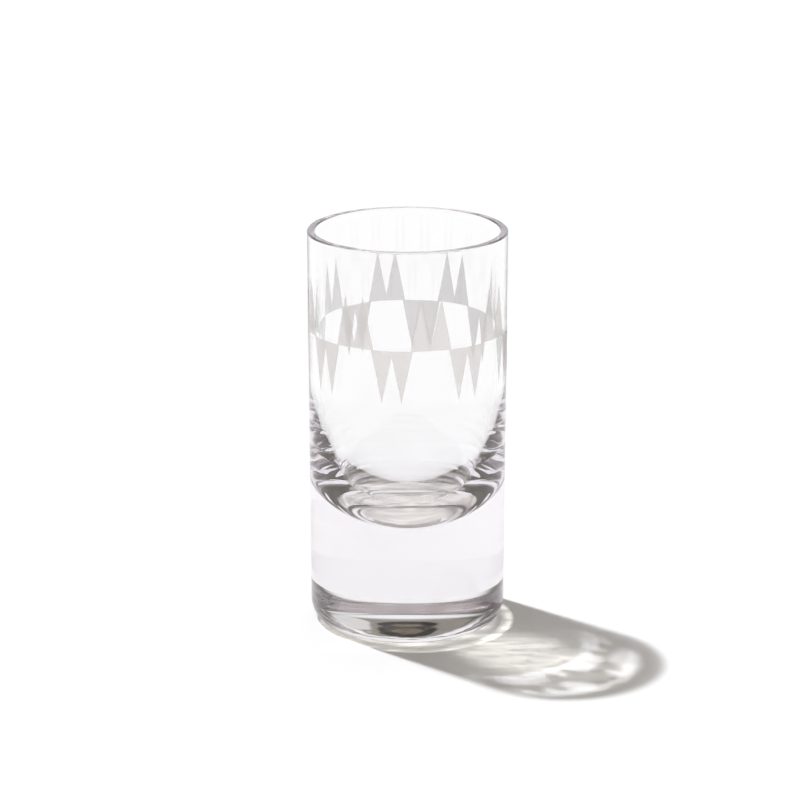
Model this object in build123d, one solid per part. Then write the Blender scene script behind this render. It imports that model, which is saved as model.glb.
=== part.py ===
from build123d import *

import os
from math import cos, radians, sin, sqrt

# A straight-sided shot glass: one heavy-based glass body, and round its upper third a
# frieze of frosted triangles fired on to the outside as pairs, alternately up and down.
# Millimetres. +Z runs up the axis of the glass, and the foot stands on z = 0.

# Outside of the glass
HEIGHT = 90.0
RIM_RADIUS = 22.2
FOOT_TAPER = 0.35  # how much smaller the radius is at the foot than at the rim
HEEL_HEIGHT = 4.7  # the heel is a quarter of an ellipse, taller than it is wide
HEEL_WIDTH = 3.1
RIM_EDGE_RADIUS = 0.4

# Bowl
RIM_WALL = 1.75
BOWL_DRAFT = 1.0  # degrees that the bowl's straight wall leans out
BOWL_FLOOR = 23.0  # height of the lowest point of the bowl, and so of solid glass below it
NOSE_RADIUS = 17.8
NOSE_TURN = 75.0  # degrees of the rounded bottom, before the long side arc takes over

# Concave underside, inside the ring that the glass stands on
PUNT_RADIUS = 13.5
PUNT_DEPTH = 1.4

# Frosted frieze
BAND_HEIGHT = 68.1  # height of the line that all triangles stand on or hang from
GROUPS = 16  # pairs of triangles round the glass, alternately up and down
SPIKE_HEIGHT = 11.8
SPIKE_HALF_ANGLE = 6.35  # half of a triangle's base, seen from the axis
FROST_THICKNESS = 0.05
FIRST_DOWN_AZIMUTH = -9.1  # degrees of the first hanging pair from -Y, positive towards +X

FOOT_RADIUS = RIM_RADIUS - FOOT_TAPER
GROUP_ANGLE = 360.0 / GROUPS
SPIKE_PITCH = GROUP_ANGLE / 2


def wall_radius(z):
    """Outer radius of the glass's conical wall at height z."""
    return FOOT_RADIUS + FOOT_TAPER * z / HEIGHT


def bowl_points():
    """Where the bowl's two arcs start and end, and the long side arc's middle."""
    lean = radians(BOWL_DRAFT)
    turn = radians(NOSE_TURN)
    nose_end = (NOSE_RADIUS * sin(turn), BOWL_FLOOR + NOSE_RADIUS * (1 - cos(turn)))
    rim = (RIM_RADIUS - RIM_WALL, HEIGHT)
    reach = (rim[0] - nose_end[0]) * cos(lean) - (rim[1] - nose_end[1]) * sin(lean)
    side_radius = reach / (1 - sin(turn + lean))
    centre = (nose_end[0] - side_radius * sin(turn), nose_end[1] + side_radius * cos(turn))

    def side_point(angle):
        return (centre[0] + side_radius * sin(angle), centre[1] - side_radius * cos(angle))

    side_end = side_point(radians(90) - lean)
    side_middle = side_point((radians(90) - lean + turn) / 2)
    nose_middle = (NOSE_RADIUS * sin(turn / 2), BOWL_FLOOR + NOSE_RADIUS * (1 - cos(turn / 2)))
    return nose_middle, nose_end, side_middle, side_end


def glass_body():
    """The glass turned from its half section: foot, wall, rim, bowl and punt."""
    nose_middle, nose_end, side_middle, side_end = bowl_points()
    punt_sphere = (PUNT_RADIUS**2 + PUNT_DEPTH**2) / (2 * PUNT_DEPTH)
    half = PUNT_RADIUS / 2
    punt_middle = (half, PUNT_DEPTH - punt_sphere + sqrt(punt_sphere**2 - half**2))
    heel_centre = (wall_radius(HEEL_HEIGHT) - HEEL_WIDTH, HEEL_HEIGHT)
    with BuildPart() as glass:
        with BuildSketch(Plane.XZ):
            with BuildLine():
                ThreePointArc((0, PUNT_DEPTH), punt_middle, (PUNT_RADIUS, 0))
                Line((PUNT_RADIUS, 0), (heel_centre[0], 0))
                EllipticalCenterArc(heel_centre, HEEL_WIDTH, HEEL_HEIGHT, 270, arc_size=90)
                FilletPolyline(
                    (wall_radius(HEEL_HEIGHT), HEEL_HEIGHT),
                    (RIM_RADIUS, HEIGHT),
                    (RIM_RADIUS - RIM_WALL, HEIGHT),
                    side_end,
                    radius=RIM_EDGE_RADIUS,
                )
                ThreePointArc(side_end, side_middle, nose_end)
                ThreePointArc(nose_end, nose_middle, (0, BOWL_FLOOR))
                Line((0, BOWL_FLOOR), (0, PUNT_DEPTH))
            make_face()
        revolve(axis=Axis.Z)
    return glass.part


def frost_skin():
    """A thin ring on the wall, over the height of the frieze, to cut the triangles from."""
    low = BAND_HEIGHT - SPIKE_HEIGHT
    high = BAND_HEIGHT + SPIKE_HEIGHT
    with BuildPart() as skin:
        with BuildSketch(Plane.XZ):
            Polygon(
                (wall_radius(low), low),
                (wall_radius(low) + FROST_THICKNESS, low),
                (wall_radius(high) + FROST_THICKNESS, high),
                (wall_radius(high), high),
                align=None,
            )
        revolve(axis=Axis.Z)
    return skin.part


def spike_pair(skin, upright):
    """Two triangles side by side that share a short stretch of their base, facing -Y."""
    radius = wall_radius(BAND_HEIGHT)
    tip_x = radius * sin(radians(SPIKE_PITCH / 2))
    inner_x = radius * sin(radians(SPIKE_HALF_ANGLE - SPIKE_PITCH / 2))
    outer_x = radius * sin(radians(SPIKE_HALF_ANGLE + SPIKE_PITCH / 2))
    notch = SPIKE_HEIGHT * inner_x / (tip_x + inner_x)
    rise = 1 if upright else -1
    outline = [
        (-outer_x, BAND_HEIGHT),
        (-tip_x, BAND_HEIGHT + rise * SPIKE_HEIGHT),
        (0, BAND_HEIGHT + rise * notch),
        (tip_x, BAND_HEIGHT + rise * SPIKE_HEIGHT),
        (outer_x, BAND_HEIGHT),
    ]
    with BuildPart() as cutter:
        with BuildSketch(Plane.XZ):
            Polygon(*outline, align=None)
        extrude(amount=RIM_RADIUS + 1)
    return skin & cutter.part


def write_parts():
    os.makedirs("parts", exist_ok=True)
    export_step(glass_body(), "parts/glass_body.step")
    skin = frost_skin()
    for upright, name in ((False, "frost_pair_down"), (True, "frost_pair_up")):
        pair = spike_pair(skin, upright)
        first = FIRST_DOWN_AZIMUTH + (GROUP_ANGLE if upright else 0)
        for number in range(GROUPS // 2):
            turned = Rot(0, 0, first + 2 * GROUP_ANGLE * number) * pair
            export_step(turned.solid(), f"parts/{name}_{number + 1}.step")


write_parts()
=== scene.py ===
from math import cos, pi, radians, sin, sqrt

import bpy
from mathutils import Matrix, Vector, noise as fields


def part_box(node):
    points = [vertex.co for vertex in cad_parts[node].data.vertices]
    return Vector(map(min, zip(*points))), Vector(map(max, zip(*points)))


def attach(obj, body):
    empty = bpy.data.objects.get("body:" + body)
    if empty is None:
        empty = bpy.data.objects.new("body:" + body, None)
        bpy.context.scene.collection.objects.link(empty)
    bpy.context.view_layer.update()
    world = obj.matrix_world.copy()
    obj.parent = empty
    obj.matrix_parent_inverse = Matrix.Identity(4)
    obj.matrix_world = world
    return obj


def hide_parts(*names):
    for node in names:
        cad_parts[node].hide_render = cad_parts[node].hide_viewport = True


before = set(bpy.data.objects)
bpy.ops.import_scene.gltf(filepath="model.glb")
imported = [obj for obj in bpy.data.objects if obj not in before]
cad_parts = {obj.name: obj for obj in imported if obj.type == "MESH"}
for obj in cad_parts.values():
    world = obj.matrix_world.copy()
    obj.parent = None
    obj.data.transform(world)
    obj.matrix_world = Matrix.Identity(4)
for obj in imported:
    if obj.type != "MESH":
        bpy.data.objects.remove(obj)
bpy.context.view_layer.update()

# The shot glass: one clear glass body, turned from its half section, and sixteen frosted
# pairs of triangles on its outside. Metres, in the frame of the CAD model: +Z runs up the
# axis, the foot stands on z = 0, and -Y is the front.

MM = 0.001
glass_low, glass_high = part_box("glass_body")

# Outside of the glass
HEIGHT = glass_high.z
RIM_RADIUS = 22.2 * MM
FOOT_TAPER = 0.35 * MM
HEEL_HEIGHT = 4.7 * MM  # the heel is a quarter of an ellipse, taller than it is wide
HEEL_WIDTH = 3.1 * MM
RIM_EDGE_RADIUS = 0.4 * MM

# Bowl
RIM_WALL = 1.75 * MM
BOWL_DRAFT = radians(1.0)
BOWL_FLOOR = 23.0 * MM
NOSE_RADIUS = 17.8 * MM
NOSE_TURN = radians(75.0)

# Concave underside
PUNT_RADIUS = 13.5 * MM
PUNT_DEPTH = 1.4 * MM

# Frosted frieze
BAND_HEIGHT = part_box("frost_pair_up_1")[0].z
SPIKE_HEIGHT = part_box("frost_pair_up_1")[1].z - BAND_HEIGHT
GROUPS = 16
SPIKE_HALF_ANGLE = radians(6.35)
FROST_THICKNESS = 0.05 * MM
FIRST_DOWN_AZIMUTH = radians(-9.1)

FOOT_RADIUS = RIM_RADIUS - FOOT_TAPER
GROUP_ANGLE = 2 * pi / GROUPS
SPIKE_PITCH = GROUP_ANGLE / 2

# Waviness of the pressed bowl, which breaks up what the thick glass reflects inside
WAVER_DEPTH = 0.012 * MM
WAVER_LENGTH = 6.0 * MM
WAVER_FADE = 12.0 * MM  # over this much below the rim the waver grows to its full depth
TRUE_SHARE = 0.1  # the share of that, next to the rim, that has no waver

# Waviness of the heel, in ridges round it. The flat ring and the punt inside it have none.
HEEL_WAVER_DEPTH = 0.055 * MM
HEEL_WAVER_LENGTH = 5.0 * MM
HEEL_WAVER_TOP = 4.5 * MM
HEEL_RIDGE_STRETCH = 3

# A finer waver on top of both, as strength and scale beside the broad one
FINE_STRENGTH = 0.3
FINE_SCALE = 2.7
FINE_SHIFT = Vector((7.1, 3.3, 5.9))
SLOPE_STEP = WAVER_LENGTH / 60  # how far to each side the waver's slope is measured

# How finely the turned surfaces are cut
SEGMENTS = 288
ARC_STEP = radians(2.0)
HEEL_STEPS = 48
OUTSIDE_STEP = 3.0 * MM
BOWL_STEP = 1.0 * MM  # fine enough for the waver


def wall_radius(z):
    return FOOT_RADIUS + FOOT_TAPER * z / HEIGHT


# ---------------------------------------------------------------- turned glass

def arc(centre, radius, start, end):
    """Points and outward normals along an arc, angles from +X. A negative radius turns the
    normal round, for a hollow."""
    turn = abs(end - start)
    steps = max(2, int(turn / ARC_STEP) + 1, int(turn * abs(radius) / BOWL_STEP) + 1)
    side = 1 if radius > 0 else -1
    points = []
    for i in range(steps + 1):
        angle = start + (end - start) * i / steps
        direction = Vector((cos(angle), sin(angle)))
        points.append((Vector(centre) + abs(radius) * direction, side * direction))
    return points


def quarter_ellipse(outer, width, height):
    """Points and outward normals up a heel from the foot, which it meets level, to the wall."""
    points = []
    for i in range(HEEL_STEPS + 1):
        angle = pi / 2 * i / HEEL_STEPS
        across, up = sin(angle), cos(angle)
        point = Vector((outer - width + width * across, height - height * up))
        points.append((point, Vector((across / width, -up / height)).normalized()))
    return points


def straight(start, end, step=OUTSIDE_STEP):
    """Points and normals along a straight run, with the normal on its right-hand side."""
    start, end = Vector(start), Vector(end)
    along = end - start
    normal = Vector((along.y, -along.x)).normalized()
    steps = max(1, int(along.length / step))
    return [(start + along * i / steps, normal) for i in range(steps + 1)]


def joined(*runs):
    """Runs one after the other, without the repeated point where two of them meet."""
    points = list(runs[0])
    for run in runs[1:]:
        points.extend(run[1:])
    return points


def corner(previous, point, following, radius):
    """Centre, first angle and last angle of the arc that rounds a corner of an outline."""
    point = Vector(point)
    back = (Vector(previous) - point).normalized()
    ahead = (Vector(following) - point).normalized()
    half = back.angle(ahead) / 2
    centre = point + (back + ahead).normalized() * radius / sin(half)
    first = point + back * radius * cos(half) / sin(half) - centre
    last = point + ahead * radius * cos(half) / sin(half) - centre
    return centre, first, last


def rounded(previous, point, following, radius):
    """The arc that rounds a convex corner, as points and normals."""
    centre, first, last = corner(previous, point, following, radius)
    start = Vector((1, 0)).angle_signed(first) * -1
    end = Vector((1, 0)).angle_signed(last) * -1
    return arc(centre, radius, start, end)


def glass_section():
    """The half section of the glass, from the punt's centre round to the bowl's, and how many
    of its points come before the bowl."""
    punt_sphere = (PUNT_RADIUS**2 + PUNT_DEPTH**2) / (2 * PUNT_DEPTH)
    punt_half = Vector((0, 1)).angle(Vector((PUNT_RADIUS, punt_sphere - PUNT_DEPTH)))
    punt = arc((0, PUNT_DEPTH - punt_sphere), -punt_sphere, pi / 2, pi / 2 - punt_half)

    rim_outer = (RIM_RADIUS, HEIGHT)
    rim_inner = (RIM_RADIUS - RIM_WALL, HEIGHT)
    nose_centre = (0, BOWL_FLOOR + NOSE_RADIUS)
    nose_end = (NOSE_RADIUS * sin(NOSE_TURN), BOWL_FLOOR + NOSE_RADIUS * (1 - cos(NOSE_TURN)))
    reach = (rim_inner[0] - nose_end[0]) * cos(BOWL_DRAFT)
    reach -= (rim_inner[1] - nose_end[1]) * sin(BOWL_DRAFT)
    side_radius = reach / (1 - sin(NOSE_TURN + BOWL_DRAFT))
    side_centre = (
        nose_end[0] - side_radius * sin(NOSE_TURN),
        nose_end[1] + side_radius * cos(NOSE_TURN),
    )
    side_end = (
        side_centre[0] + side_radius * cos(BOWL_DRAFT),
        side_centre[1] - side_radius * sin(BOWL_DRAFT),
    )

    heel = quarter_ellipse(wall_radius(HEEL_HEIGHT), HEEL_WIDTH, HEEL_HEIGHT)
    outer_edge = rounded(heel[-1][0], rim_outer, rim_inner, RIM_EDGE_RADIUS)
    inner_edge = rounded(rim_outer, rim_inner, side_end, RIM_EDGE_RADIUS)
    side = arc(side_centre, -side_radius, -BOWL_DRAFT, NOSE_TURN - pi / 2)
    nose = arc(nose_centre, -NOSE_RADIUS, NOSE_TURN - pi / 2, -pi / 2)
    foot = straight((PUNT_RADIUS, 0), heel[0][0])
    outside = joined(
        punt,
        foot,
        heel,
        straight(heel[-1][0], outer_edge[0][0]),
        outer_edge,
        straight(outer_edge[-1][0], inner_edge[0][0]),
        inner_edge,
    )
    inside = joined(straight(inner_edge[-1][0], side_end, BOWL_STEP), side, nose)
    return joined(outside, inside), len(outside)


def waver(point, in_bowl):
    """How far the pressed surface stands off its true shape at a point, in metres."""
    if in_bowl:
        length = WAVER_LENGTH
        fade = min(1.0, max(0.0, (HEIGHT - point.z) / WAVER_FADE - TRUE_SHARE))
        depth = WAVER_DEPTH * fade
    else:
        fade = min(1.0, max(0.0, point.z / MM)) * max(0.0, 1 - point.z / HEEL_WAVER_TOP)
        if point.xy.length < PUNT_RADIUS:
            fade = 0.0
        length, depth = HEEL_WAVER_LENGTH, HEEL_WAVER_DEPTH * fade
        point = Vector((point.x, point.y, HEEL_RIDGE_STRETCH * point.z))
    broad = fields.noise(point / length)
    fine = fields.noise(point * FINE_SCALE / length + FINE_SHIFT)
    return depth * (broad + FINE_STRENGTH * fine)


def wavered(point, normal, in_bowl):
    """A point and normal of the glass, moved by the waver and leaned by its slope."""
    across = Vector((-normal.y, normal.x, 0))
    across = across.normalized() if across.length > 1e-6 else Vector((1, 0, 0))
    along = normal.cross(across)
    lean = Vector((0, 0, 0))
    for tangent in (across, along):
        ahead, back = point + SLOPE_STEP * tangent, point - SLOPE_STEP * tangent
        rise = waver(ahead, in_bowl) - waver(back, in_bowl)
        lean += tangent * rise / (2 * SLOPE_STEP)
    return point + normal * waver(point, in_bowl), (normal - lean).normalized()


def turned(name, section, bowl_start):
    """A closed mesh turned round Z from a half section that starts and ends on the axis.
    Its normals are worked out, not averaged, so that long facets stay true in refraction. The
    bowl begins at the ring bowl_start."""
    vertices, normals, faces = [], [], []
    for ring, (point, normal) in enumerate(section[1:-1]):
        for i in range(SEGMENTS):
            angle = 2 * pi * i / SEGMENTS
            place = Vector((point.x * cos(angle), point.x * sin(angle), point.y))
            facing = Vector((normal.x * cos(angle), normal.x * sin(angle), normal.y))
            place, facing = wavered(place, facing, ring >= bowl_start)
            vertices.append(place)
            normals.append(facing)
    rings = len(section) - 2
    for ring in range(rings - 1):
        for i in range(SEGMENTS):
            here, beside = ring * SEGMENTS + i, ring * SEGMENTS + (i + 1) % SEGMENTS
            faces.append((here, beside, beside + SEGMENTS, here + SEGMENTS))
    for ring, (point, normal) in ((0, section[0]), (rings - 1, section[-1])):
        pole = len(vertices)
        place, facing = Vector((0, 0, point.y)), Vector((0, 0, normal.y))
        place, facing = wavered(place, facing, ring > 0)
        vertices.append(place)
        normals.append(facing)
        for i in range(SEGMENTS):
            here, beside = ring * SEGMENTS + i, ring * SEGMENTS + (i + 1) % SEGMENTS
            faces.append((beside, here, pole) if ring == 0 else (here, beside, pole))
    mesh = bpy.data.meshes.new(name)
    mesh.from_pydata(vertices, [], faces)
    mesh.shade_smooth()
    mesh.normals_split_custom_set_from_vertices(normals)
    return placed(name, mesh)


def placed(name, mesh):
    piece = bpy.data.objects.new(name, mesh)
    bpy.context.scene.collection.objects.link(piece)
    return piece


# ---------------------------------------------------------------- frosted pairs

FROST_GAP = 0.005 * MM  # between the glass and the frost's back, so that they don't share a plane
COLUMNS_PER_SPIKE = 12


def spike_height(angle):
    """Height of a pair's edge above its base, at an angle from the pair's middle."""
    from_tip = abs(abs(angle) - SPIKE_PITCH / 2)
    return max(0.0, SPIKE_HEIGHT * (1 - from_tip / SPIKE_HALF_ANGLE))


def frost_pair(name, azimuth, rise):
    """A closed skin on the wall in the outline of two triangles. azimuth is from -Y."""
    tip = SPIKE_PITCH / 2
    stops = [-tip - SPIKE_HALF_ANGLE, -tip, 0.0, tip, tip + SPIKE_HALF_ANGLE]
    angles = []
    for first, last in zip(stops, stops[1:]):
        angles += [first + (last - first) * i / COLUMNS_PER_SPIKE for i in range(COLUMNS_PER_SPIKE)]
    angles.append(stops[-1])

    vertices, rows = [], []
    for depth in (FROST_GAP, FROST_THICKNESS):
        for edge in (0, 1):
            row = []
            for angle in angles:
                z = BAND_HEIGHT + edge * rise * spike_height(angle)
                radius = wall_radius(z) + depth
                at_end = edge and angle in (stops[0], stops[-1])
                row.append(len(vertices) if not at_end else rows[-1][angles.index(angle)])
                if not at_end:
                    turn = azimuth + angle
                    vertices.append((radius * sin(turn), -radius * cos(turn), z))
            rows.append(row)
    inner_base, inner_edge, outer_base, outer_edge = rows
    faces = []
    for low, high, forward in (
        (outer_base, outer_edge, True),
        (inner_base, inner_edge, False),
        (inner_base, outer_base, True),
        (inner_edge, outer_edge, False),
    ):
        for i in range(len(angles) - 1):
            loop = [low[i], low[i + 1], high[i + 1], high[i]]
            loop = [v for k, v in enumerate(loop) if v != loop[k - 1]]
            faces.append(loop if forward == (rise > 0) else loop[::-1])
    mesh = bpy.data.meshes.new(name)
    mesh.from_pydata(vertices, [], faces)
    mesh.validate()
    return placed(name, mesh)


# ---------------------------------------------------------------- materials

def new_material(name):
    material = bpy.data.materials.new(name)
    material.use_nodes = True
    nodes = material.node_tree.nodes
    nodes.clear()
    output = nodes.new("ShaderNodeOutputMaterial")
    return material, nodes, material.node_tree.links, output


def noise(nodes, links, scale, detail, roughness, stretch=(1, 1, 1), turn=0.0):
    """A noise texture in the object's own coordinates, turned about Z and stretched, with scale
    in features per metre. Returns those coordinates and the noise."""
    place = nodes.new("ShaderNodeTexCoord").outputs["Object"]
    mapping = nodes.new("ShaderNodeMapping")
    mapping.inputs["Rotation"].default_value = (0, 0, turn)
    mapping.inputs["Scale"].default_value = stretch
    links.new(place, mapping.inputs["Vector"])
    texture = nodes.new("ShaderNodeTexNoise")
    texture.inputs["Scale"].default_value = scale
    texture.inputs["Detail"].default_value = detail
    texture.inputs["Roughness"].default_value = roughness
    links.new(mapping.outputs["Vector"], texture.inputs["Vector"])
    return place, texture.outputs["Fac"]


def ranged(nodes, links, value, source, target, smooth=False):
    """Maps a value from one range to another, with soft ends if smooth."""
    node = nodes.new("ShaderNodeMapRange")
    if smooth:
        node.interpolation_type = "SMOOTHSTEP"
    node.inputs["From Min"].default_value, node.inputs["From Max"].default_value = source
    node.inputs["To Min"].default_value, node.inputs["To Max"].default_value = target
    links.new(value, node.inputs["Value"])
    return node.outputs["Result"]


def combined(nodes, links, operation, first, second):
    """Two values added or multiplied."""
    node = nodes.new("ShaderNodeMath")
    node.operation = operation
    links.new(first, node.inputs[0])
    links.new(second, node.inputs[1])
    return node.outputs["Value"]


def vector_length(nodes, links, vector):
    node = nodes.new("ShaderNodeVectorMath")
    node.operation = "LENGTH"
    links.new(vector, node.inputs[0])
    return node.outputs["Value"]


GLASS_COLOUR = (0.984, 0.984, 0.988, 1)
GLASS_TINT = (0.908, 0.878, 0.912, 1)
GLASS_TINT_DENSITY = 17.0
GLASS_IOR = 1.52
DRAW_LINES_PER_METRE = (450.0, 450.0, 30.0)
DRAW_LINE_DEPTH = 0.0007 * MM


def glass_material():
    """Clear polished glass, with the faint upright lines that forming leaves in its skin."""
    material, nodes, links, output = new_material("clear_glass")
    shader = nodes.new("ShaderNodeBsdfPrincipled")
    shader.inputs["Base Color"].default_value = GLASS_COLOUR
    shader.inputs["Transmission Weight"].default_value = 1.0
    shader.inputs["Roughness"].default_value = 0.0
    shader.inputs["IOR"].default_value = GLASS_IOR
    _, lines = noise(nodes, links, 1.0, 3.0, 0.5, DRAW_LINES_PER_METRE)
    bump = nodes.new("ShaderNodeBump")
    bump.inputs["Distance"].default_value = DRAW_LINE_DEPTH
    links.new(lines, bump.inputs["Height"])
    links.new(bump.outputs["Normal"], shader.inputs["Normal"])
    links.new(shader.outputs["BSDF"], output.inputs["Surface"])
    tint = nodes.new("ShaderNodeVolumeAbsorption")
    tint.inputs["Color"].default_value = GLASS_TINT
    tint.inputs["Density"].default_value = GLASS_TINT_DENSITY
    links.new(tint.outputs["Volume"], output.inputs["Volume"])
    return material


FROST_COLOUR = (0.97, 0.935, 0.925, 1)
FROST_COVER = (0.33, 0.45)  # share of the light that the film catches, where thin and where dense
FROST_THROUGH = 0.25  # share of the caught light that is scattered onwards, not back
FROST_GRAINS_PER_METRE = 9000.0


def frost_material():
    """Fired-on frost: a fine, milky film that lets most light by and scatters the rest."""
    material, nodes, links, output = new_material("frost")
    _, grain = noise(nodes, links, FROST_GRAINS_PER_METRE, 3.0, 0.6)
    cover = ranged(nodes, links, grain, (0.0, 1.0), FROST_COVER)
    face = nodes.new("ShaderNodeBsdfDiffuse")
    face.inputs["Color"].default_value = FROST_COLOUR
    through = nodes.new("ShaderNodeBsdfTranslucent")
    through.inputs["Color"].default_value = FROST_COLOUR
    milk = nodes.new("ShaderNodeMixShader")
    milk.inputs["Fac"].default_value = FROST_THROUGH
    links.new(face.outputs["BSDF"], milk.inputs[1])
    links.new(through.outputs["BSDF"], milk.inputs[2])
    clear = nodes.new("ShaderNodeBsdfTransparent")
    film = nodes.new("ShaderNodeMixShader")
    links.new(cover, film.inputs["Fac"])
    links.new(clear.outputs["BSDF"], film.inputs[1])
    links.new(milk.outputs["Shader"], film.inputs[2])
    links.new(film.outputs["Shader"], output.inputs["Surface"])
    return material


def light_pool(nodes, links, place, streaks, pool):
    """The painted light of one oval pool on the floor, soft at its edges and broken by streaks."""
    middle, turn, half_size, inner, outer, strength = pool
    oval = nodes.new("ShaderNodeMapping")
    oval.vector_type = "TEXTURE"
    oval.inputs["Location"].default_value = (middle[0], middle[1], -FLOOR_GAP)
    oval.inputs["Rotation"].default_value = (0, 0, turn)
    oval.inputs["Scale"].default_value = (half_size[0], half_size[1], 1)
    links.new(place, oval.inputs["Vector"])
    distance = vector_length(nodes, links, oval.outputs["Vector"])
    past_inner = ranged(nodes, links, distance, inner, (0.0, strength), smooth=True)
    within_outer = ranged(nodes, links, distance, outer, (0.0, 1.0), smooth=True)
    light = combined(nodes, links, "MULTIPLY", streaks, past_inner)
    return combined(nodes, links, "MULTIPLY", light, within_outer)


def floor_material():
    """A white floor, with pools of light painted on it as emission, standing in for those that the
    key would throw through the base.
    """
    material, nodes, links, output = new_material("floor_white_painted_pools")
    shader = nodes.new("ShaderNodeBsdfPrincipled")
    shader.inputs["Base Color"].default_value = FLOOR_COLOUR
    shader.inputs["Roughness"].default_value = 0.8
    shader.inputs["Specular IOR Level"].default_value = 0.2
    shader.inputs["Emission Color"].default_value = POOL_COLOUR
    place, texture = noise(nodes, links, 1.0, 3.0, 0.6, STREAKS_PER_METRE, STREAK_TURN)
    streaks = ranged(nodes, links, texture, STREAK_SOURCE, STREAK_RANGE)
    light = None
    for pool in POOLS:
        more = light_pool(nodes, links, place, streaks, pool)
        light = more if light is None else combined(nodes, links, "ADD", light, more)
    # the pools' painted light goes out as the floor's emission
    links.new(light, shader.inputs["Emission Strength"])
    links.new(shader.outputs["BSDF"], output.inputs["Surface"])
    return material


# ---------------------------------------------------------------- stage

FLOOR_HALF = 6.0
FLOOR_GAP = 0.03 * MM  # below the foot, so that the two don't share a plane
FLOOR_COLOUR = (0.9, 0.9, 0.9, 1)
CAMERA_PLACE = (-1.67 * MM, -673.5 * MM, 251.6 * MM)
CAMERA_PITCH = radians(16.61)
CAMERA_LENS = 141.3

# The key is two lamps close together. Only the weaker one throws refracted light.
KEY_DIRECTIONS = (Vector((1.405, -1.385, -4.053)), Vector((1.535, -1.385, -4.053)))
KEY_ENERGIES = (0.4, 2.33)
KEY_CAUSTICS = (True, False)
KEY_COLOUR = (0.975, 0.995, 1.03)
KEY_SPREAD = radians(1.7)
FILL_DIRECTION = Vector((0, 1, -0.02))
FILL_ENERGY = 1.2
FILL_SPREAD = radians(20)

# Stand-ins for refracted light that the renderer doesn't find: under the base, the ring round
# the foot, in front of it, and two in the shadow. Each has its middle, turn and half size, then
# in half sizes where its light rises from the middle outwards and where it ends, and strength.
POOLS = (
    ((1.0 * MM, -3.0 * MM), 0.0, (19.5 * MM, 19.5 * MM), (-1.0, -0.5), (1.05, 0.85), 0.42),
    ((1.9 * MM, -3.3 * MM), 0.0, (21.9 * MM, 21.6 * MM), (0.86, 0.98), (1.03, 0.98), 0.55),
    ((-1.0 * MM, -21.0 * MM), 0.0, (17 * MM, 5.5 * MM), (-1.0, -0.5), (1.2, 0.4), 0.04),
    ((23.5 * MM, -25.0 * MM), -pi / 4, (15 * MM, 12 * MM), (-1.0, -0.5), (1.2, 0.5), 0.33),
    ((37.0 * MM, -37.0 * MM), -pi / 4, (13 * MM, 17 * MM), (-1.0, -0.5), (1.1, 0.6), 0.12),
)
# Colour of the light painted in the pools
POOL_COLOUR = (1.0, 0.955, 0.87, 1)
STREAK_TURN = pi / 4
STREAKS_PER_METRE = (90.0, 260.0, 1.0)
STREAK_SOURCE = (0.3, 0.7)  # the noise's usual range
STREAK_RANGE = (0.2, 1.8)  # and what it multiplies a pool's light by

SKY_STOPS = (  # sine of the height above the horizon, and the light that comes from there
    (0.0, (0.12, 0.11, 0.08)),
    (1.0, (0.535, 0.505, 0.47)),
    (0.26, (0.11, 0.10, 0.08)),
    (0.62, (0.11, 0.10, 0.08)),
    (0.75, (0.485, 0.455, 0.425)),
)
WALL_PATCHES = (  # direction of the middle, half size, and light of what stands behind the sweep
    ((0.0, 0.84, 0.54), (0.55, 1.0, 0.17), (0.30, 0.275, 0.24, 1)),
    ((0.47, 0.70, 0.54), (0.25, 1.0, 0.20), (0.75, 0.74, 0.72, 1)),
    ((0.0, 0.83, 0.56), (0.19, 1.0, 0.115), (0.05, 0.045, 0.04, 1)),
    ((0.0, 0.83, 0.585), (0.10, 1.0, 0.05), (0.17, 0.14, 0.10, 1)),
)
PATCH_EDGE = (1.05, 0.88)  # where a patch's soft edge ends and begins, in half sizes
SWEEP_LIGHT = (1.0, 1.0, 1.0, 1)  # the white sweep that rises behind the glass
SWEEP_TOP = (0.43, 0.27)  # sine of the height where it ends, and where it is full
SWEEP_SIDE = (0.60, 0.86)  # cosine of the turn from +Y where it ends, and where it is full
BOUNCES = 48  # light goes round inside the thick base many times before it leaves


def floor():
    mesh = bpy.data.meshes.new("floor")
    h = FLOOR_HALF
    z = -FLOOR_GAP
    mesh.from_pydata([(-h, -h, z), (h, -h, z), (h, h, z), (-h, h, z)], [], [(0, 1, 2, 3)])
    piece = placed("floor", mesh)
    mesh.materials.append(floor_material())
    piece.cycles.is_caustics_receiver = True


def camera():
    data = bpy.data.cameras.new("camera")
    data.lens = CAMERA_LENS
    data.sensor_width = 36.0
    data.clip_start = 0.01
    view = bpy.data.objects.new("camera", data)
    view.location = CAMERA_PLACE
    view.rotation_euler = (pi / 2 - CAMERA_PITCH, 0, 0)
    bpy.context.scene.collection.objects.link(view)
    bpy.context.scene.camera = view


def far_lamp(name, direction, energy, spread):
    data = bpy.data.lights.new(name, "SUN")
    data.energy = energy
    data.angle = spread
    lamp = bpy.data.objects.new(name, data)
    lamp.rotation_euler = direction.to_track_quat("-Z", "Y").to_euler()
    bpy.context.scene.collection.objects.link(lamp)
    return lamp


def key_lights():
    """A hard key from behind on the left, whose two lamps throw one shadow with a soft edge."""
    for number, direction in enumerate(KEY_DIRECTIONS):
        key = far_lamp(f"key_{number}", direction, KEY_ENERGIES[number], KEY_SPREAD)
        key.data.color = KEY_COLOUR
        key.data.cycles.is_caustics_light = KEY_CAUSTICS[number]


def fill_light():
    """A level fill from the front, for the frost; clear glass and the floor hardly show it."""
    fill = far_lamp("fill", FILL_DIRECTION, FILL_ENERGY, FILL_SPREAD)
    fill.visible_glossy = False
    fill.visible_transmission = False


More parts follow.
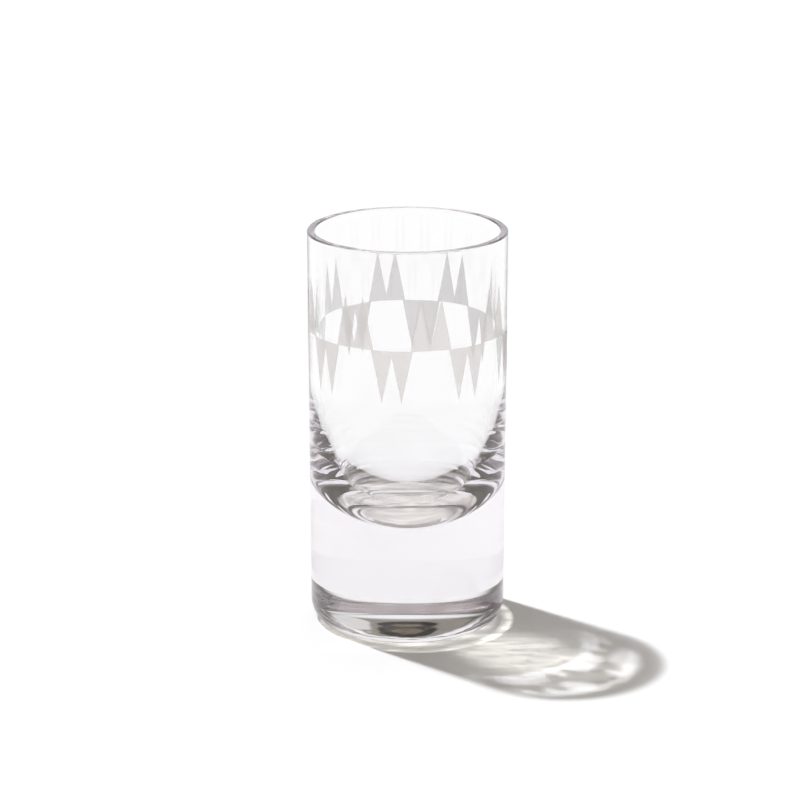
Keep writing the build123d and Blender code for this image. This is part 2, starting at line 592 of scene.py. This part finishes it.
def wall_patch(nodes, links, place, under, middle, half_size, colour):
    """Lays one soft-edged oval of light over what is under it, and returns the colour."""
    offset = nodes.new("ShaderNodeVectorMath")
    offset.operation = "SUBTRACT"
    offset.inputs[1].default_value = middle
    links.new(place, offset.inputs[0])
    stretched = nodes.new("ShaderNodeVectorMath")
    stretched.operation = "DIVIDE"
    stretched.inputs[1].default_value = half_size
    links.new(offset.outputs["Vector"], stretched.inputs[0])
    distance = vector_length(nodes, links, stretched.outputs["Vector"])
    laid = nodes.new("ShaderNodeMixRGB")
    laid.inputs["Color2"].default_value = colour
    edge = ranged(nodes, links, distance, PATCH_EDGE, (0.0, 1.0), smooth=True)
    links.new(edge, laid.inputs["Fac"])
    links.new(under, laid.inputs["Color1"])
    return laid.outputs["Color"]


def surroundings():
    """A white sweep behind the glass, a dim room above it and beside it, and a pale ceiling."""
    world = bpy.data.worlds.new("studio")
    world.use_nodes = True
    nodes, links = world.node_tree.nodes, world.node_tree.links
    nodes.clear()
    place = nodes.new("ShaderNodeTexCoord").outputs["Generated"]
    split = nodes.new("ShaderNodeSeparateXYZ")
    links.new(place, split.inputs["Vector"])
    ramp = nodes.new("ShaderNodeValToRGB")
    for element, (height, colour) in zip(ramp.color_ramp.elements, SKY_STOPS[:2]):
        element.position = height
        element.color = (*colour, 1)
    for height, colour in SKY_STOPS[2:]:
        ramp.color_ramp.elements.new(height).color = (*colour, 1)
    links.new(split.outputs["Z"], ramp.inputs["Fac"])
    room = ramp.outputs["Color"]
    for patch in WALL_PATCHES:
        room = wall_patch(nodes, links, place, room, *patch)

    below_top = ranged(nodes, links, split.outputs["Z"], SWEEP_TOP, (0.0, 1.0), smooth=True)
    between_sides = ranged(nodes, links, split.outputs["Y"], SWEEP_SIDE, (0.0, 1.0), smooth=True)
    on_sweep = combined(nodes, links, "MULTIPLY", below_top, between_sides)
    sweep = nodes.new("ShaderNodeMixRGB")
    sweep.inputs["Color2"].default_value = SWEEP_LIGHT
    links.new(on_sweep, sweep.inputs["Fac"])
    links.new(room, sweep.inputs["Color1"])
    shade = nodes.new("ShaderNodeBackground")
    output = nodes.new("ShaderNodeOutputWorld")
    links.new(sweep.outputs["Color"], shade.inputs["Color"])
    links.new(shade.outputs["Background"], output.inputs["Surface"])
    bpy.context.scene.world = world


def light_paths():
    """Enough bounces for the thick base, and colours shown as they are."""
    scene = bpy.context.scene
    scene.view_settings.view_transform = "Standard"
    scene.cycles.max_bounces = BOUNCES
    scene.cycles.transmission_bounces = BOUNCES
    scene.cycles.glossy_bounces = BOUNCES
    scene.cycles.transparent_max_bounces = BOUNCES


camera()
floor()
key_lights()
fill_light()
surroundings()
light_paths()

glass = turned("glass", *glass_section())
glass.data.materials.append(glass_material())
glass.cycles.is_caustics_caster = True
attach(glass, "root")
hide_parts("glass_body")

frost = frost_material()
for first, rise, kind in ((0, -1, "down"), (GROUP_ANGLE, 1, "up")):
    for number in range(GROUPS // 2):
        azimuth = FIRST_DOWN_AZIMUTH + first + 2 * GROUP_ANGLE * number
        pair = frost_pair(f"frost_{kind}_{number + 1}", azimuth, rise)
        pair.data.materials.append(frost)
        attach(pair, "root")
        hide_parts(f"frost_pair_{kind}_{number + 1}")
